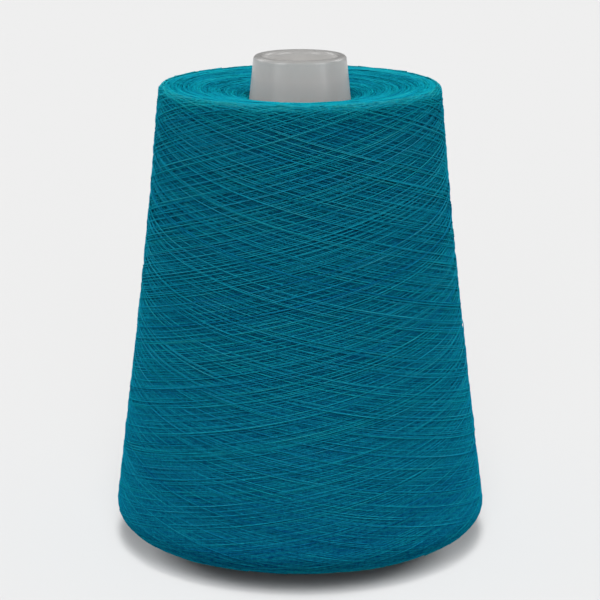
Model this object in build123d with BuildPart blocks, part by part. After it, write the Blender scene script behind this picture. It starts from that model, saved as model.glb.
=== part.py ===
from build123d import *
import os
from math import cos, radians, sin, tan

# A cone of machine-knitting yarn: fine thread cross-wound on a moulded plastic winding cone.
# Millimetres, +Z up. The origin is on the cone's axis, on the plane that its base rim stands on.

# ---- winding cone: driving dimensions ----
cone_length = 170.0
cone_half_angle = 5.95  # degrees, the 5 deg 57 min standard taper
nose_outer_radius = 15.8
nose_lip = 3.2  # thickness of the rounded rim round the nose bore
nose_land_length = 8.0  # straight bore inside the nose
nose_rim_round = 1.4
shell_wall = 2.2
base_rim_wall = 3.0  # thickness at the very base, round the straight base bore
base_rim_round = 0.8

# ---- wound yarn: driving dimensions ----
base_bare = 2.5  # bare cone below the first turns
nose_bare = 15.7  # bare cone above the last turns
package_base_radius = 65.0
package_top_radius = 48.4
side_hollow = 0.85  # how far the side bows in between its two ends
base_shoulder_round = 7.3
crown_round = 2.3
base_face_tilt = 5.95  # degrees, the base face stands square to the cone's surface
top_face_tilt = 7.5  # degrees, the top face rises outwards
dish_width = 6.2  # ring beside the cone where the top face dips
dish_depth = 2.85
winding_clearance = 0.0  # the first turns lie on the cone

# ---- sizes that follow ----
taper = tan(radians(cone_half_angle))
base_outer_radius = nose_outer_radius + cone_length * taper
nose_bore_radius = nose_outer_radius - nose_lip
base_bore_radius = base_outer_radius - base_rim_wall
largest_rim_round = 0.45  # of the rim's thickness, so that two rounds leave a flat between them


def cone_surface(height):
    """Outer radius of the winding cone at a height above its base."""
    return base_outer_radius - height * taper


def shell_bore(height):
    """Inner radius of the winding cone's plain tapered shell at a height."""
    return cone_surface(height) - shell_wall


def yarn_bore(height):
    """Inner radius of the wound yarn at a height."""
    return cone_surface(height) + winding_clearance


# ---- winding cone: tapered shell with a straight bore at each end ----
nose_land_start = cone_length - nose_land_length
nose_step = (shell_bore(nose_land_start) - nose_bore_radius) / (1 - taper)  # 45 degree shoulder
base_land_length = (base_rim_wall - shell_wall) / taper  # up to where the tapered bore is as narrow

with BuildPart() as winding_cone:
    with BuildSketch(Plane.XZ):
        with BuildLine():
            Polyline(
                (base_bore_radius, 0),
                (base_outer_radius, 0),
                (nose_outer_radius, cone_length),
                (nose_bore_radius, cone_length),
                (nose_bore_radius, nose_land_start),
                (shell_bore(nose_land_start - nose_step), nose_land_start - nose_step),
                (base_bore_radius, base_land_length),
                close=True,
            )
        make_face()
    revolve(axis=Axis.Z)
    nose_edges = winding_cone.edges().group_by(Axis.Z)[-1]
    fillet(nose_edges, min(nose_rim_round, largest_rim_round * nose_lip))
    base_edges = winding_cone.edges().group_by(Axis.Z)[0]
    fillet(base_edges, min(base_rim_round, largest_rim_round * base_rim_wall))
winding_cone.part.label = "winding_cone"

# ---- wound yarn: a ring of thread on the cone, with a round shoulder, a hollow side and a dished top ----
yarn_bottom = base_bare
yarn_top = cone_length - nose_bare
base_slope = radians(base_face_tilt)
top_slope = radians(top_face_tilt)

# the base shoulder's arc touches the sloping base face and is upright at the widest point
shoulder_radius = package_base_radius - base_shoulder_round
shoulder_height = (
    yarn_bottom
    + (shoulder_radius - yarn_bore(yarn_bottom)) * tan(base_slope)
    + base_shoulder_round / cos(base_slope)
)
shoulder_start = (
    shoulder_radius + base_shoulder_round * sin(base_slope),
    shoulder_height - base_shoulder_round * cos(base_slope),
)

# the crown's arc touches the sloping top face and is upright at the top of the side
dish_rim = (yarn_bore(yarn_top) + dish_width, yarn_top + dish_depth)
crown_radius = package_top_radius - crown_round
crown_height = (
    dish_rim[1]
    + (crown_radius - dish_rim[0]) * tan(top_slope)
    - crown_round / cos(top_slope)
)
crown_end = (
    crown_radius - crown_round * sin(top_slope),
    crown_height + crown_round * cos(top_slope),
)
side_middle = (
    (package_base_radius + package_top_radius) / 2 - side_hollow,
    (shoulder_height + crown_height) / 2,
)

with BuildPart() as yarn_package:
    with BuildSketch(Plane.XZ):
        with BuildLine():
            Line((yarn_bore(yarn_bottom), yarn_bottom), shoulder_start)
            CenterArc(
                (shoulder_radius, shoulder_height),
                base_shoulder_round,
                start_angle=base_face_tilt - 90,
                arc_size=90 - base_face_tilt,
            )
            ThreePointArc(
                (package_base_radius, shoulder_height),
                side_middle,
                (package_top_radius, crown_height),
            )
            CenterArc(
                (crown_radius, crown_height),
                crown_round,
                start_angle=0,
                arc_size=90 + top_face_tilt,
            )
            top_face = Line(crown_end, dish_rim)
            TangentArc(dish_rim, (yarn_bore(yarn_top), yarn_top), tangent=top_face % 1)
            Line((yarn_bore(yarn_top), yarn_top), (yarn_bore(yarn_bottom), yarn_bottom))
        make_face()
    revolve(axis=Axis.Z)
yarn_package.part.label = "yarn_package"

# ---- output: one STEP file for each piece ----
os.makedirs("parts", exist_ok=True)
for piece in (winding_cone, yarn_package):
    export_step(piece.part, f"parts/{piece.part.label}.step")
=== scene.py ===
from math import cos, pi, radians, sin, tan

import bpy
import numpy as np
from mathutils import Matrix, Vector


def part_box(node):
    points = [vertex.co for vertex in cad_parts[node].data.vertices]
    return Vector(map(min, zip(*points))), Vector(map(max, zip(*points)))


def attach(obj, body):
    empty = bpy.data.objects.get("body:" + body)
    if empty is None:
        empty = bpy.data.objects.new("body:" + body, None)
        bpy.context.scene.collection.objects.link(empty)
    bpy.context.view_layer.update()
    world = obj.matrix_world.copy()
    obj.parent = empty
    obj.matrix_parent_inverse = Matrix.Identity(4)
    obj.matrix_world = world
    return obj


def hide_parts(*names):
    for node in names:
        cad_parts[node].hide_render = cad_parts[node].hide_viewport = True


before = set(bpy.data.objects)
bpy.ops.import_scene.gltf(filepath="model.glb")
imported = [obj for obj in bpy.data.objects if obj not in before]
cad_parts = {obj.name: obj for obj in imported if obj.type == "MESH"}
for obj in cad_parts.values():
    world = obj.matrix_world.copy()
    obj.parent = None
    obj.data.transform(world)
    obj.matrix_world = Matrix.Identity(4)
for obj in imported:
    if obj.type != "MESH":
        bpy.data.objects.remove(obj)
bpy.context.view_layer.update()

# A cone of machine-knitting yarn. The winding cone and the package's outline come from the CAD frame.
# Here the thread itself is wound: every stroke is laid on a height field of what lies under it, so later
# strokes ride over earlier ones, as on the real package. Lengths are millimetres until a mesh is made.

MM = 0.001
RANDOM = np.random.default_rng(4057)

# ---- sizes shared with the CAD model ----
_, cone_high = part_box("winding_cone")
yarn_low, yarn_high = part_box("yarn_package")
CONE_HEIGHT = cone_high[2] / MM
TAPER = tan(radians(5.95))
NOSE_RADIUS = 15.8
BASE_RADIUS = NOSE_RADIUS + CONE_HEIGHT * TAPER
PACKAGE_BASE_RADIUS = 65.0
PACKAGE_TOP_RADIUS = 48.4
YARN_BOTTOM = yarn_low[2] / MM
CROWN_TOP = yarn_high[2] / MM
YARN_TOP = CONE_HEIGHT - 15.7  # where the dished top meets the cone
SIDE_HOLLOW = 0.83
HOLLOW_LEAN = 0.95  # the hollow is deeper towards the crown
SHOULDER_ROUND = 7.3
CROWN_ROUND = 2.3
BASE_TILT = radians(5.95)
TOP_TILT = radians(7.5)
DISH_WIDTH = 6.2

# ---- thread ----
THREAD_WIDTH = 0.24
THREAD_HEIGHT = 0.28
THREAD_SIDES = 4
SAMPLE_ANGLE = radians(0.5)  # between two places where a thread's height is worked out
SAMPLES_PER_SEGMENT = 10  # of its mesh

# ---- winding: strokes from one end to the other that still show or fill the surface ----
STROKES = 2520
STROKES_PER_PIECE = 180
TURNS_PER_STROKE = 1.809  # its double ends on a golden share of a turn, so the strokes spread evenly
TURN_SCATTER = 0.006  # of a turn, about the place where a stroke would end
PITCH_BASE = 74.0  # rise of the thread in one turn, near the base
PITCH_TOP = 95.0  # and near the crown
REVERSAL_SHARE = 0.055  # share of a stroke over which the thread turns back
REVERSAL_EDGE = (1.6, 1.1)  # shape and scale of how far short of an end the strokes turn back
REVERSAL_EDGE_LOW = 1.5  # times as far short at the base
SHOULDER_TURNING = radians(22)  # how far up the shoulder's arc the lowest strokes turn back
CROWN_TURNING = radians(12)  # how far below the crown's inner end the highest do

# ---- end faces: bends of older layers, which dive in at both of their ends ----
TOP_BENDS = 2000
BASE_BENDS = 1200
BENDS_PER_PIECE = 800
DISH_CROWDING = 1.35  # over 1 sets the bends closer together towards the cone
BEND_SPAN = (60, 130)  # degrees
BEND_BOW = 2.2  # how far a bend's ends may stray from its middle to one side of it
BEND_SLOPE = 2.0  # and to opposite sides
BEND_DIVE = 1.6
TOP_FACE_OVERLAP = 1.0  # of the top face's bends over the crown
BASE_FACE_OVERLAP = 2.0  # of the base face's bends over the shoulder
CONE_GAP = 0.4  # between the outline's end on the cone and the nearest bend

# ---- laying: how a thread rests on the height field ----
CELL = 0.25  # of the height field, along the outline
FIELD_TURN = 720  # cells of the height field round the axis
BRIDGING = 25  # samples over which a tight thread evens out what it lies on
HUGGING = 0.35  # how much it follows single threads under it
HALF_SUNK = 0.36  # height of its middle over what it lies on, in thread heights
CREST = 0.4  # height of its crest over its middle, in thread heights
CREST_FALL = 0.12  # how much lower it is one cell aside

CORE_DEPTH = 1.3  # of the solid core under the outline
CORE_GAP = 0.05  # between the core's outside and the cone, where they come close
CORE_BORE_GAP = 0.02  # between the core's bore and the cone


def cone_radius(height):
    """Outer radius of the winding cone at a height."""
    return BASE_RADIUS - height * TAPER


# ---- outline of the package: from the cone, out along the base, up the side and back in at the top ----
def arc(centre, radius, start, stop, count):
    """Points on an arc, by angles from the horizontal."""
    angles = np.linspace(start, stop, count)
    return np.column_stack(
        [centre[0] + radius * np.cos(angles), centre[1] + radius * np.sin(angles)]
    )


def package_outline():
    """Evenly spaced (radius, height) points round the package's outline, with its outward normals."""
    shoulder = PACKAGE_BASE_RADIUS - SHOULDER_ROUND
    shoulder_height = (
        YARN_BOTTOM
        + (shoulder - cone_radius(YARN_BOTTOM)) * tan(BASE_TILT)
        + SHOULDER_ROUND / cos(BASE_TILT)
    )
    crown = PACKAGE_TOP_RADIUS - CROWN_ROUND
    crown_height = CROWN_TOP - CROWN_ROUND
    dish_rim = cone_radius(YARN_TOP) + DISH_WIDTH
    base_arc = arc((shoulder, shoulder_height), SHOULDER_ROUND, BASE_TILT - pi / 2, 0, 60)
    crown_arc = arc((crown, crown_height), CROWN_ROUND, 0, pi / 2 + TOP_TILT, 30)
    rise = np.linspace(0, 1, 200)[1:-1]  # the arcs hold the side's two ends
    side = np.column_stack(
        [
            PACKAGE_BASE_RADIUS
            + (PACKAGE_TOP_RADIUS - PACKAGE_BASE_RADIUS) * rise
            - 4 * SIDE_HOLLOW * rise * (1 - rise) * (1 + HOLLOW_LEAN * (rise - 0.5)),
            shoulder_height + (crown_height - shoulder_height) * rise,
        ]
    )
    dish_height = crown_arc[-1][1] - (crown_arc[-1][0] - dish_rim) * tan(TOP_TILT)
    inward = np.linspace(0, 1, 30)
    dish = np.column_stack(
        [
            dish_rim - DISH_WIDTH * inward,
            dish_height
            - DISH_WIDTH * tan(TOP_TILT) * inward
            - (dish_height - DISH_WIDTH * tan(TOP_TILT) - YARN_TOP) * inward**2,
        ]
    )
    start = np.array([[cone_radius(YARN_BOTTOM), YARN_BOTTOM]])
    rough = np.vstack([start, base_arc, side, crown_arc, dish])
    along = np.concatenate([[0], np.cumsum(np.hypot(*np.diff(rough, axis=0).T))])
    count = int(along[-1] / CELL)
    even = np.linspace(0, along[-1], count)
    points = np.column_stack([np.interp(even, along, rough[:, i]) for i in (0, 1)])
    tangent = np.gradient(points, axis=0)
    normal = np.column_stack([tangent[:, 1], -tangent[:, 0]])
    normal = smooth_along(normal, 5)
    normal /= np.linalg.norm(normal, axis=1)[:, None]
    crown_end = along[-len(dish) - 1]
    marks = {
        "base_rim": along[0],
        "shoulder": along[1] + SHOULDER_ROUND * SHOULDER_TURNING,
        "crown": crown_end - CROWN_ROUND * CROWN_TURNING,
        "crown_end": crown_end,
        "cone": along[-1],
    }  # lengths along the outline
    return points, normal, even[1], marks


def smooth_along(values, width):
    """Moving average down the first axis, with the ends held."""
    pad = width // 2
    padded = np.concatenate([values[:1].repeat(pad, 0), values, values[-1:].repeat(pad, 0)])
    total = np.cumsum(np.concatenate([np.zeros_like(padded[:1]), padded]), axis=0)
    return (total[width:] - total[:-width]) / width


OUTLINE, NORMALS, STEP, MARKS = package_outline()
FIELD_ROWS = len(OUTLINE)


# ---- laying thread on the height field ----
field = np.zeros((FIELD_TURN, FIELD_ROWS))


def lay(turn, along, dive=None):
    """Lays one thread over what is there, and returns its height at each sample. dive lowers it, and a
    lowered stretch leaves the field as it was."""
    column = np.floor(turn / (2 * pi) * FIELD_TURN).astype(int) % FIELD_TURN
    row = np.clip(np.rint(along / STEP).astype(int), 1, FIELD_ROWS - 2)
    under = np.maximum(np.maximum(field[column, row - 1], field[column, row]), field[column, row + 1])
    height = smooth_along(under[:, None], BRIDGING)[:, 0]
    resting = HUGGING * np.maximum(height, under) + (1 - HUGGING) * height
    height = resting + THREAD_HEIGHT * HALF_SUNK
    if dive is not None:
        height = height - dive
    crest = height + THREAD_HEIGHT * CREST
    for shift, drop in ((-1, CREST_FALL), (0, 0.0), (1, CREST_FALL)):
        where = (column, row + shift)
        field[where] = np.maximum(field[where], crest - drop)
    return height


def wind_side():
    """The strokes of the thread over the side: a list of (turn, along, height) arrays, first to last."""
    low = MARKS["shoulder"]
    high = MARKS["crown"]
    strokes = []
    turn_now = 0.0
    start = low
    shift = TURN_SCATTER * RANDOM.standard_normal(STROKES + 1)
    for number in range(STROKES):
        upward = number % 2 == 0
        edge = RANDOM.gamma(*REVERSAL_EDGE)
        stop = high - edge if upward else low + REVERSAL_EDGE_LOW * edge
        mean_pitch = (PITCH_BASE + PITCH_TOP) / 2
        turns = TURNS_PER_STROKE + shift[number + 1] - shift[number]
        count = int(turns * 2 * pi / SAMPLE_ANGLE)
        share = np.linspace(0, 1, count)
        climb = eased(share, REVERSAL_SHARE)
        climb = climb if upward else 1 - climb
        # the pitch grows from the base to the crown
        lean = (PITCH_TOP - PITCH_BASE) / mean_pitch / 2
        climb = climb - lean * climb * (1 - climb)
        first, last = (start, stop) if upward else (stop, start)
        along = first + (last - first) * climb
        turn = turn_now + share * turns * 2 * pi
        strokes.append([turn, along, lay(turn, along)])
        turn_now = turn[-1]
        start = stop
    return strokes


def eased(share, end):
    """0 to 1 at an even rate, but starting and stopping gently over a share of the way at each end."""
    rate = np.clip(np.minimum(share, 1 - share) / end, 0, 1)
    rate = rate * (2 - rate)
    total = np.cumsum(rate)
    return (total - total[0]) / (total[-1] - total[0])


def wind_face(low, high, count, crowding=1.0):
    """Bends of older layers between two places on the outline, which make up an end face. A crowding over
    1 sets them closer together towards high."""
    strokes = []
    shares = 1 - (1 - np.linspace(0, 1, count)) ** crowding
    for place in RANDOM.permutation(low + (high - low) * shares):
        span = radians(RANDOM.uniform(*BEND_SPAN))
        samples = int(span / SAMPLE_ANGLE)
        share = np.linspace(-1, 1, samples)
        begin = RANDOM.uniform(0, 2 * pi)
        bow = RANDOM.uniform(-BEND_BOW, BEND_BOW)
        along = place + bow * share**2 + RANDOM.uniform(-BEND_SLOPE, BEND_SLOPE) * share
        along = np.clip(along, low, high)
        turn = begin + (share + 1) / 2 * span
        strokes.append([turn, along, lay(turn, along, dive=BEND_DIVE * share**4)])
    return strokes


top_bends = wind_face(
    MARKS["crown_end"] - TOP_FACE_OVERLAP, MARKS["cone"] - CONE_GAP, TOP_BENDS, DISH_CROWDING
)
base_bends = wind_face(MARKS["base_rim"] + CONE_GAP, MARKS["shoulder"] + BASE_FACE_OVERLAP, BASE_BENDS)
side_strokes = wind_side()

# ---- relief ----
# What shows is the package's outline with a relief of about a thread's height. So each row of the field
# is measured from its own mean and in its own spread, which takes out the heaps where the thread turns.
RELIEF_BASE = 0.05
RELIEF_HIGH = 0.20
RELIEF_CROWN = 0.17
RELIEF_PLACES = (0, 0.8, 1)  # of the package's height, where those three hold
RELIEF_FACE = 0.10
RELIEF_LIMITS = (-4.5, 0.5)  # in spreads
RELIEF_ROWS = 25  # over which the mean and the spread are evened out
SPREAD_LEAST = 0.02
SINKING = 0.11  # how unevenly the soft layers below let a thread sink in
SINKING_LENGTH = 13.0  # from one sunk place to the next
EDGE_FADE = 9.0  # from either end of the side, where the relief grows from the faces' to its own
CONE_CLEARANCE = 0.03  # between the innermost threads and the cone

# ---- tone: 0 is the thread's darkest colour, 1 its lightest; besides the strokes' own differences it holds painted shade and painted highlight ----
TONE = 0.53
STANDING_SHADE = -0.20  # painted shade: change for each spread that a thread stands out, which holds it darker against the extra light it catches there
SUNK_SHADE = 0.10  # painted shade: change for each spread above the depth where it lies, so a deep one is darker, as in the shade of the threads over it
TONE_SLOPE_LOW = 0.6  # share of those two that is left at the base
FACE_DEPTH_SHADE = 0.05  # painted shade by depth that takes the place of those two on the end faces
TONE_DEPTHS = (-2.8, 1.5)  # spreads beyond which the tone doesn't change further
SINKING_SHADE = 0.08  # painted shade: darker where the uneven sinking lowers a thread, lighter where it lifts it
TONE_STRAND = 0.07  # how much the strokes differ
STRAND_SKEW = 1.25  # a few strokes are much darker than the rest, and none much lighter
CROWN_HIGHLIGHT = 0.22  # painted highlight: how much lighter the thread is where it turns round the crown, for the light it catches there
CROWN_REACH = 3.0
BASE_SHADE = 0.22  # painted shade: how much darker it is at the base, against the light the floor throws up onto it
FACE_SHADE = -0.20  # painted shade: how the end faces' tone differs from the side's, for how the light falls on them
FACE_SHADE_TINT = -2.2  # and their painted tint, towards green, for the same light
TINT_LIMIT = 2.0

level = smooth_along(field.mean(axis=0)[:, None], RELIEF_ROWS)[:, 0]
spread = smooth_along(field.std(axis=0)[:, None], RELIEF_ROWS)[:, 0] + SPREAD_LEAST


def thread_line(stroke):
    """Points and surface normals down the middle of a laid thread, in millimetres, with the tone and the
    tint at each point. The tone holds painted shade and painted highlight besides the strokes' own
    differences."""
    turn, along, height = (values[::SAMPLES_PER_SEGMENT] for values in stroke)
    grid = np.arange(FIELD_ROWS) * STEP
    radius = np.interp(along, grid, OUTLINE[:, 0])
    rise = np.interp(along, grid, OUTLINE[:, 1])
    out = np.interp(along, grid, NORMALS[:, 0])
    up = np.interp(along, grid, NORMALS[:, 1])
    heap = (height - np.interp(along, grid, level)) / np.interp(along, grid, spread)
    share = np.clip((rise - YARN_BOTTOM) / (CROWN_TOP - YARN_BOTTOM), 0, 1)
    relief = np.interp(share, RELIEF_PLACES, (RELIEF_BASE, RELIEF_HIGH, RELIEF_CROWN))
    inside = np.minimum(along - MARKS["shoulder"], MARKS["crown"] - along) / EDGE_FADE
    relief = RELIEF_FACE + (relief - RELIEF_FACE) * np.clip(inside, 0, 1)
    length = np.linspace(0, turn[-1] - turn[0], len(turn)) * radius.mean()
    knots = RANDOM.standard_normal(int(length[-1] / SINKING_LENGTH) + 3)
    sinking = np.interp(length / SINKING_LENGTH, np.arange(len(knots)), knots)
    offset = relief * np.clip(heap, *RELIEF_LIMITS) + SINKING * sinking
    radius = radius + out * offset
    rise = rise + up * offset
    radius = np.maximum(radius, cone_radius(rise) + THREAD_WIDTH / 2 + CONE_CLEARANCE)
    ray = np.column_stack([np.cos(turn), np.sin(turn), np.zeros_like(turn)])
    points = ray * radius[:, None]
    points[:, 2] = rise
    normals = ray * out[:, None]
    normals[:, 2] = up
    # painted shade by depth: a deep thread is darker, and one that stands out is held darker against the
    # light it catches
    depth_shade = np.where(heap > 0, STANDING_SHADE, SUNK_SHADE)
    depth_shade = depth_shade * (TONE_SLOPE_LOW + (1 - TONE_SLOPE_LOW) * share)
    depth_shade = FACE_DEPTH_SHADE + (depth_shade - FACE_DEPTH_SHADE) * np.clip(inside, 0, 1)
    strand = 1 - STRAND_SKEW * abs(RANDOM.standard_normal())
    tone = TONE + depth_shade * np.clip(heap, *TONE_DEPTHS) + TONE_STRAND * strand
    facing = 1 - np.clip(inside, 0, 1)
    # painted shade where the uneven sinking lowers a thread, and painted shade on the end faces
    tone = tone + SINKING_SHADE * sinking + FACE_SHADE * facing
    # painted highlight round the crown
    tone = tone + CROWN_HIGHLIGHT * np.exp(-(((along - MARKS["crown"]) / CROWN_REACH) ** 2))
    # painted shade towards the base
    tone = tone - BASE_SHADE * (1 - share) ** 2
    # a stroke's own hue, and the end faces' painted tint
    tint = np.clip(RANDOM.standard_normal(), -TINT_LIMIT, TINT_LIMIT) + FACE_SHADE_TINT * facing
    return points, normals, np.clip(tone, 0, 1), tint


# ---- meshes ----
BAKE_MAP = "OFBake"  # each stroke is unrolled in a row of its own in this map
ROW_FILL = 0.9  # share of its row that a stroke takes
CAP_LENGTH = 0.004  # share of a row's length that each end cap takes


def mesh_object(name, vertices, faces_of_four, bake_uv=None, caps=None):
    """A smooth-shaded object from arrays of corners (millimetres), quads and optional end caps."""
    mesh = bpy.data.meshes.new(name)
    loops = faces_of_four.reshape(-1)
    totals = np.full(len(faces_of_four), 4)
    if caps is not None:
        loops = np.concatenate([loops, caps.reshape(-1)])
        totals = np.concatenate([totals, np.full(len(caps), caps.shape[1])])
    starts = np.concatenate([[0], np.cumsum(totals)[:-1]])
    mesh.vertices.add(len(vertices))
    mesh.vertices.foreach_set("co", (vertices * MM).astype(np.float32).reshape(-1))
    mesh.loops.add(len(loops))
    mesh.loops.foreach_set("vertex_index", loops.astype(np.int32))
    mesh.polygons.add(len(totals))
    mesh.polygons.foreach_set("loop_start", starts.astype(np.int32))
    mesh.polygons.foreach_set("use_smooth", np.ones(len(totals), dtype=bool))
    if bake_uv is not None:
        layer = mesh.uv_layers.new(name=BAKE_MAP)
        layer.data.foreach_set("uv", bake_uv.astype(np.float32).reshape(-1))
    mesh.update(calc_edges=True)
    mesh.validate()
    piece = bpy.data.objects.new(name, mesh)
    bpy.context.scene.collection.objects.link(piece)
    return piece


def thread_piece(name, strokes):
    """One object holding the closed tubes of these strokes."""
    corners, quads, caps, tones, tints, side_uv, cap_uv = [], [], [], [], [], [], []
    sides = np.arange(THREAD_SIDES)
    angle = 2 * pi * sides / THREAD_SIDES
    margin = (1 - ROW_FILL) / 2
    row_height = 1 / len(strokes)
    base = 0
    for row, stroke in enumerate(strokes):
        points, normals, tone, tint = thread_line(stroke)
        tones.append(np.repeat(tone, THREAD_SIDES))
        tints.append(np.repeat(tint, THREAD_SIDES))
        tangent = np.gradient(points, axis=0)
        tangent /= np.linalg.norm(tangent, axis=1)[:, None]
        across = np.cross(tangent, normals)
        across /= np.linalg.norm(across, axis=1)[:, None]
        lift = np.cross(across, tangent)
        ring = (
            points[:, None]
            + lift[:, None] * (np.cos(angle) * THREAD_HEIGHT / 2)[None, :, None]
            + across[:, None] * (np.sin(angle) * THREAD_WIDTH / 2)[None, :, None]
        )
        count = len(points)
        corners.append(ring.reshape(-1, 3))
        ring_start = base + np.arange(count - 1)[:, None] * THREAD_SIDES
        first = ring_start + sides[None]
        after = ring_start + ((sides + 1) % THREAD_SIDES)[None]
        quads.append(
            np.stack([first, after, after + THREAD_SIDES, first + THREAD_SIDES], -1).reshape(-1, 4)
        )
        caps.append(np.array([base + sides[::-1], base + (count - 1) * THREAD_SIDES + sides]))
        length = np.concatenate([[0], np.cumsum(np.linalg.norm(np.diff(points, axis=0), axis=1))])
        share = length / length[-1]
        side_uv.append(quad_uv(share, sides, ROW_FILL * row_height, (row + margin) * row_height))
        corner = np.array([[0, margin], [CAP_LENGTH, margin], [CAP_LENGTH, 1 - margin], [0, 1 - margin]])
        end_uv = np.stack([corner, corner + [1 - CAP_LENGTH, 0]])
        end_uv[:, :, 1] = (end_uv[:, :, 1] + row) * row_height
        cap_uv.append(end_uv.reshape(-1, 2))
        base += count * THREAD_SIDES
    bake_uv = np.concatenate(side_uv + cap_uv)
    piece = mesh_object(
        name, np.concatenate(corners), np.concatenate(quads), bake_uv, np.concatenate(caps)
    )
    for label, values in (("tone", tones), ("tint", tints)):
        layer = piece.data.attributes.new(label, "FLOAT", "POINT")
        layer.data.foreach_set("value", np.concatenate(values).astype(np.float32))
    return piece


def quad_uv(u, sides, height, shift):
    """UV corners of a tube's quads: u down its length, and its sides side by side across v."""
    u0 = np.repeat(u[:-1], THREAD_SIDES)
    u1 = np.repeat(u[1:], THREAD_SIDES)
    v0 = np.tile(sides / THREAD_SIDES, len(u) - 1) * height + shift
    v1 = np.tile((sides + 1) / THREAD_SIDES, len(u) - 1) * height + shift
    corners = np.stack([u0, v0, u0, v1, u1, v1, u1, v0], -1)
    return corners.reshape(-1, 2)


def core_piece(name, segments=240):
    """The older layers under the visible thread: a closed ring, a little inside the outline."""
    outer = (OUTLINE - NORMALS * CORE_DEPTH)[::4]
    outer[:, 0] = np.maximum(outer[:, 0], cone_radius(outer[:, 1]) + CORE_GAP)
    inner_height = np.linspace(outer[-1, 1], outer[0, 1], 60)[1:-1]
    inner = np.column_stack([cone_radius(inner_height) + CORE_BORE_GAP, inner_height])
    section = np.vstack([outer, inner])
    turn = np.linspace(0, 2 * pi, segments, endpoint=False)
    corners = np.stack(
        [
            np.outer(np.cos(turn), section[:, 0]),
            np.outer(np.sin(turn), section[:, 0]),
            np.outer(np.ones(segments), section[:, 1]),
        ],
        -1,
    ).reshape(-1, 3)
    count = len(section)
    here = np.arange(segments)[:, None] * count
    there = (np.arange(segments)[:, None] + 1) % segments * count
    now = np.arange(count)[None]
    then = (np.arange(count)[None] + 1) % count
    quads = np.stack([here + now, there + now, there + then, here + then], -1).reshape(-1, 4)
    return mesh_object(name, corners, quads)


# ---- materials ----
# colours at tone 0, 0.5 and 1: the darker tones come mostly from painted shade, some from darker strokes;
# the lightest colour is paler, a painted sheen on the brightest threads
YARN_DARK = (0.0, 0.034, 0.122)
YARN_MIDDLE = (0.0044, 0.198, 0.298)
YARN_LIGHT = (0.0320, 0.246, 0.300)
# painted shade: the core's older layers are coloured darker than the thread, for the shade deep under the
# visible threads
SHADED_CORE_DARK = (0.0004, 0.050, 0.100)
SHADED_CORE_LIGHT = (0.0010, 0.090, 0.150)
HUE_STRAND = 0.009  # how much the strokes' hues differ, in turns of the colour circle
FIBRE_SCALE = 900.0  # of the noise that stands for the fibres
FIBRE_TONE = 0.5  # how much that noise changes the tone
SHEEN_TINT = (0.0, 0.6, 0.7, 1)
CONE_DARK = (0.470, 0.436, 0.418)
CONE_LIGHT = (0.522, 0.484, 0.464)
CLOUD_SCALE = 60.0  # of the cone's faint mottle
GRAIN_SCALE = 1800.0  # of the fine roughness left by the mould
GRAIN_HEIGHT = 0.1 * MM
GLOW_DEPTH = 1.5 * MM  # that light goes into the plastic
NOSE_SHADE = 18.0  # how far below its top the painted shade of the nose is at its darkest
PAINTED_NOSE_SHADE = (
    (17.9, (0.755, 0.740, 0.733)),
    (7.0, (1.0, 1.0, 1.0)),
    (3.0, (0.955, 0.995, 1.0)),
    (1.3, (0.930, 0.980, 0.995)),
    (0.1, (0.850, 0.905, 0.920)),
)  # depth below the nose's top, and the painted shade there: darker down towards the yarn, where less light reaches the plastic, dimmed at the rim against its highlight, and tinted to even out the colour of the light on it


def new_material(name):
    """An empty node material and its Principled shader."""
    material = bpy.data.materials.new(name)
    material.use_nodes = True
    return material, material.node_tree, material.node_tree.nodes["Principled BSDF"]


def yarn_material(name, dark, middle, light):
    """Spun thread: its tone, which carries painted shade and painted highlight, picks a colour from dark
    to light and its tint turns the hue, with a fine mottle of fibres."""
    material, tree, shader = new_material(name)
    nodes = tree.nodes
    link = tree.links.new
    tone = nodes.new("ShaderNodeAttribute")
    tone.attribute_name = "tone"
    place = nodes.new("ShaderNodeTexCoord")
    fibres = nodes.new("ShaderNodeTexNoise")
    fibres.inputs["Scale"].default_value = FIBRE_SCALE
    fibres.inputs["Detail"].default_value = 2.0
    link(place.outputs["Object"], fibres.inputs["Vector"])
    mottle = nodes.new("ShaderNodeMath")
    mottle.operation = "MULTIPLY_ADD"
    mottle.inputs[1].default_value = FIBRE_TONE
    mottle.inputs[2].default_value = -FIBRE_TONE / 2
    link(fibres.outputs["Fac"], mottle.inputs[0])
    both = nodes.new("ShaderNodeMath")
    both.operation = "ADD"
    both.use_clamp = True
    link(tone.outputs["Fac"], both.inputs[0])
    link(mottle.outputs[0], both.inputs[1])
    ramp = nodes.new("ShaderNodeValToRGB")
    ramp.color_ramp.elements[0].color = (*dark, 1)
    ramp.color_ramp.elements[1].color = (*light, 1)
    ramp.color_ramp.elements.new(0.5).color = (*middle, 1)
    link(both.outputs[0], ramp.inputs["Fac"])
    tint = nodes.new("ShaderNodeAttribute")
    tint.attribute_name = "tint"
    turned = nodes.new("ShaderNodeMath")
    turned.operation = "MULTIPLY_ADD"
    turned.inputs[1].default_value = HUE_STRAND
    turned.inputs[2].default_value = 0.5  # leaves the hue as it is
    link(tint.outputs["Fac"], turned.inputs[0])
    hue = nodes.new("ShaderNodeHueSaturation")
    link(turned.outputs[0], hue.inputs["Hue"])
    link(ramp.outputs["Color"], hue.inputs["Color"])
    link(hue.outputs["Color"], shader.inputs["Base Color"])
    shader.inputs["Roughness"].default_value = 0.62
    shader.inputs["Specular IOR Level"].default_value = 0.0
    shader.inputs["Sheen Weight"].default_value = 0.4
    shader.inputs["Sheen Roughness"].default_value = 0.4
    shader.inputs["Sheen Tint"].default_value = SHEEN_TINT
    return material


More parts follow.
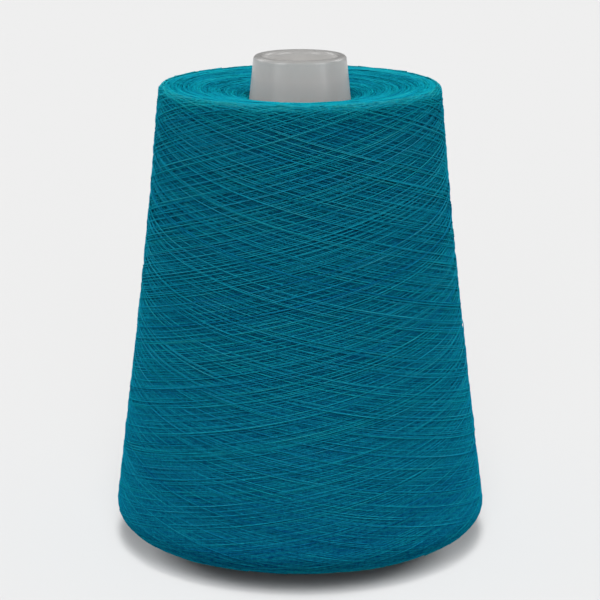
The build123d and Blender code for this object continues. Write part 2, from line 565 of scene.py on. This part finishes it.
def plastic_material(name):
    """Satin grey moulded plastic that lets a little light into its surface, with painted shade down its
    nose.
    """
    material, tree, shader = new_material(name)
    nodes = tree.nodes
    link = tree.links.new
    place = nodes.new("ShaderNodeTexCoord")
    cloud = nodes.new("ShaderNodeTexNoise")
    cloud.inputs["Scale"].default_value = CLOUD_SCALE
    cloud.inputs["Detail"].default_value = 4.0
    link(place.outputs["Object"], cloud.inputs["Vector"])
    ramp = nodes.new("ShaderNodeValToRGB")
    ramp.color_ramp.elements[0].color = (*CONE_DARK, 1)
    ramp.color_ramp.elements[1].color = (*CONE_LIGHT, 1)
    link(cloud.outputs["Fac"], ramp.inputs["Fac"])
    height = nodes.new("ShaderNodeSeparateXYZ")
    link(place.outputs["Object"], height.inputs[0])
    rise = nodes.new("ShaderNodeMapRange")
    rise.inputs["From Min"].default_value = (CONE_HEIGHT - NOSE_SHADE) * MM
    rise.inputs["From Max"].default_value = CONE_HEIGHT * MM
    link(height.outputs["Z"], rise.inputs["Value"])
    # painted shade down the nose
    nose_shade_ramp = nodes.new("ShaderNodeValToRGB")
    for below_top, colour in PAINTED_NOSE_SHADE:
        nose_shade_ramp.color_ramp.elements.new(1 - below_top / NOSE_SHADE).color = (*colour, 1)
    # the two that a new ramp starts with
    nose_shade_ramp.color_ramp.elements.remove(nose_shade_ramp.color_ramp.elements[-1])
    nose_shade_ramp.color_ramp.elements.remove(nose_shade_ramp.color_ramp.elements[0])
    link(rise.outputs["Result"], nose_shade_ramp.inputs["Fac"])
    shade = nodes.new("ShaderNodeMix")
    shade.data_type = "RGBA"
    shade.blend_type = "MULTIPLY"
    shade.inputs["Factor"].default_value = 1.0
    link(ramp.outputs["Color"], shade.inputs[6])
    link(nose_shade_ramp.outputs["Color"], shade.inputs[7])
    link(shade.outputs[2], shader.inputs["Base Color"])
    shader.inputs["Roughness"].default_value = 0.30
    shader.inputs["Specular IOR Level"].default_value = 0.35
    shader.inputs["Subsurface Weight"].default_value = 0.3
    shader.inputs["Subsurface Radius"].default_value = (1, 1, 1)
    shader.inputs["Subsurface Scale"].default_value = GLOW_DEPTH
    grain = nodes.new("ShaderNodeTexNoise")
    grain.inputs["Scale"].default_value = GRAIN_SCALE
    link(place.outputs["Object"], grain.inputs["Vector"])
    bump = nodes.new("ShaderNodeBump")
    bump.inputs["Strength"].default_value = 0.08
    bump.inputs["Distance"].default_value = GRAIN_HEIGHT
    link(grain.outputs["Fac"], bump.inputs["Height"])
    link(bump.outputs["Normal"], shader.inputs["Normal"])
    return material


thread_look = yarn_material("teal_thread", YARN_DARK, YARN_MIDDLE, YARN_LIGHT)
core_look = yarn_material("teal_core", SHADED_CORE_DARK, SHADED_CORE_DARK, SHADED_CORE_LIGHT)
cone_look = plastic_material("grey_cone_plastic")


# ---- the pieces ----
def finish_yarn(piece, look):
    """Gives a yarn piece its material and its body, and hides the CAD model's yarn package."""
    piece.data.materials.append(look)
    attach(piece, "root")
    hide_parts("yarn_package")


finish_yarn(core_piece("yarn_core"), core_look)
for prefix, strokes, share in (
    ("top_bends", top_bends, BENDS_PER_PIECE),
    ("base_bends", base_bends, BENDS_PER_PIECE),
    ("winding", side_strokes, STROKES_PER_PIECE),
):
    for start in range(0, len(strokes), share):
        label = f"{prefix}_{start // share + 1:02d}"
        finish_yarn(thread_piece(label, strokes[start : start + share]), thread_look)

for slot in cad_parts["winding_cone"].material_slots:
    slot.material = cone_look

# ---- stage, light and camera: metres ----
CAMERA_DISTANCE = 0.715
CAMERA_HEIGHT = 0.2682
CAMERA_PITCH = radians(14.454)
LENS = 126.47
FLOOR_GREY = 0.605
WORLD_LIGHT = 0.16
# The floor's own light comes from a long softbox over the object, from just behind it to low in front.
# Each row is a light's pitch, its spread and its strength.
FLOOR_LIGHTS_HIGH = ((90, 16, 1.50), (76, 24, 1.13), (62, 24, 0.95))
FLOOR_LIGHTS_LOW = ((45, 24, 0.49), (18, 40, 0.66))
# A share of its overhead part falls past the top face's rim, so that the shadow shows in front and fades
# at the sides.
FLOOR_RIM_LIGHTS = ((96.7, 5.0, 1.50), (95.9, 5.0, 1.096), (95.1, 6.0, 0.839))
CORNER_SHARE = 0.35
STRIP_WIDTH, STRIP_LENGTH = 0.1, 1.0
STRIP_DISTANCE, STRIP_HEIGHT = 1.0, 0.3
NOSE_LIGHT_DEPTH = 14.0  # millimetres below the nose's top

bpy.ops.mesh.primitive_plane_add(size=8, location=(0, 0, 0))
floor = bpy.context.object
floor.name = "floor"
floor_look, _, floor_shader = new_material("pale_floor")
floor_shader.inputs["Base Color"].default_value = (FLOOR_GREY, FLOOR_GREY, FLOOR_GREY, 1)
floor_shader.inputs["Roughness"].default_value = 0.9
floor_shader.inputs["Specular IOR Level"].default_value = 0.0
floor.data.materials.append(floor_look)

world = bpy.data.worlds.new("studio")
bpy.context.scene.world = world
world.use_nodes = True
world.node_tree.nodes["Background"].inputs["Color"].default_value = (1, 1, 1, 1)
world.node_tree.nodes["Background"].inputs["Strength"].default_value = WORLD_LIGHT


def sun(name, strength, spread, pitch, turn, only=None, blockers=None):
    """A soft, very distant light that looks down at pitch, from the front turned by turn. It lights only
    the pieces in the collection only, and only those in the collection blockers cast its shadow."""
    data = bpy.data.lights.new(name, "SUN")
    data.energy = strength
    data.angle = radians(spread)
    light = bpy.data.objects.new(name, data)
    light.rotation_euler = (radians(90 - pitch), 0, radians(turn))
    bpy.context.scene.collection.objects.link(light)
    if only is not None:
        light.light_linking.receiver_collection = only
    if blockers is not None:
        light.light_linking.blocker_collection = blockers


def light_group(name, pieces):
    """A collection that holds the only pieces a light reaches, or the only ones that cast its shadow."""
    group = bpy.data.collections.new(name)
    for piece in pieces:
        group.objects.link(piece)
    return group


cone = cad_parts["winding_cone"]
threads = [piece for piece in bpy.data.objects if piece.type == "MESH" and piece not in (cone, floor)]
yarn_only = light_group("lit_yarn", threads)
floor_only = light_group("lit_floor", [floor])
cone_only = light_group("lit_cone", [cone])
top_bend_pieces = [piece for piece in threads if piece.name.startswith("top_bends")]
top_threads = light_group("top_threads", top_bend_pieces)

sun("overhead", 3.7, 50, 77, 0, yarn_only)
for pitch, spread_angle, strength in FLOOR_LIGHTS_HIGH:
    strength = strength * (1 - CORNER_SHARE)
    sun(f"floor_light_{pitch}", strength, spread_angle, pitch, 0, floor_only)
for pitch, spread_angle, strength in FLOOR_LIGHTS_LOW:
    sun(f"floor_light_{pitch}", strength, spread_angle, pitch, 0, floor_only)
for pitch, spread_angle, strength in FLOOR_RIM_LIGHTS:
    label = f"floor_rim_light_{pitch:.0f}"
    sun(label, strength * CORNER_SHARE, spread_angle, pitch, 0, floor_only, top_threads)
sun("yarn_left", 0.66, 30, 25, -60, yarn_only)
sun("yarn_right", 0.78, 30, 25, 64, yarn_only)
sun("yarn_back_left", 0.88, 40, 25, -118, yarn_only)
sun("yarn_back_right", 0.88, 40, 25, 118, yarn_only)
sun("yarn_back", 0.48, 40, 30, 180, yarn_only)
sun("cone_left", 1.60, 30, 24, -50, cone_only)
sun("cone_right", 1.60, 30, 24, 50, cone_only)
sun("cone_back_left", 0.95, 30, 30, -120, cone_only)
sun("cone_back_right", 0.95, 30, 30, 120, cone_only)


def strip(name, power, turn):
    """A tall narrow light beside the camera that only shows as a streak on the plastic."""
    data = bpy.data.lights.new(name, "AREA")
    data.shape = "RECTANGLE"
    data.size = STRIP_WIDTH
    data.size_y = STRIP_LENGTH
    data.energy = power
    light = bpy.data.objects.new(name, data)
    turn = radians(turn)
    light.location = (STRIP_DISTANCE * sin(turn), -STRIP_DISTANCE * cos(turn), STRIP_HEIGHT)
    light.rotation_euler = (pi / 2, 0, turn)
    light.visible_diffuse = False
    light.visible_camera = False
    bpy.context.scene.collection.objects.link(light)
    light.light_linking.receiver_collection = cone_only


strip("strip_left", 1.3, -55.7)
strip("strip_right", 2.2, 60)

nose_glow = bpy.data.lights.new("light_through_the_nose_wall", "POINT")
nose_glow.energy = 0.0033
nose_glow.color = (0.87, 0.96, 1.0)
nose_glow.shadow_soft_size = 0.006
inside_nose = bpy.data.objects.new("light_through_the_nose_wall", nose_glow)
inside_nose.location = (0, 0, (CONE_HEIGHT - NOSE_LIGHT_DEPTH) * MM)
inside_nose.visible_camera = False
bpy.context.scene.collection.objects.link(inside_nose)
inside_nose.light_linking.receiver_collection = cone_only

camera_data = bpy.data.cameras.new("camera")
camera_data.lens = LENS
camera_data.sensor_width = 36
camera = bpy.data.objects.new("camera", camera_data)
camera.location = (0, -CAMERA_DISTANCE, CAMERA_HEIGHT)
camera.rotation_euler = (pi / 2 - CAMERA_PITCH, 0, 0)
bpy.context.scene.collection.objects.link(camera)
bpy.context.scene.camera = camera
bpy.context.scene.view_settings.view_transform = "Standard"
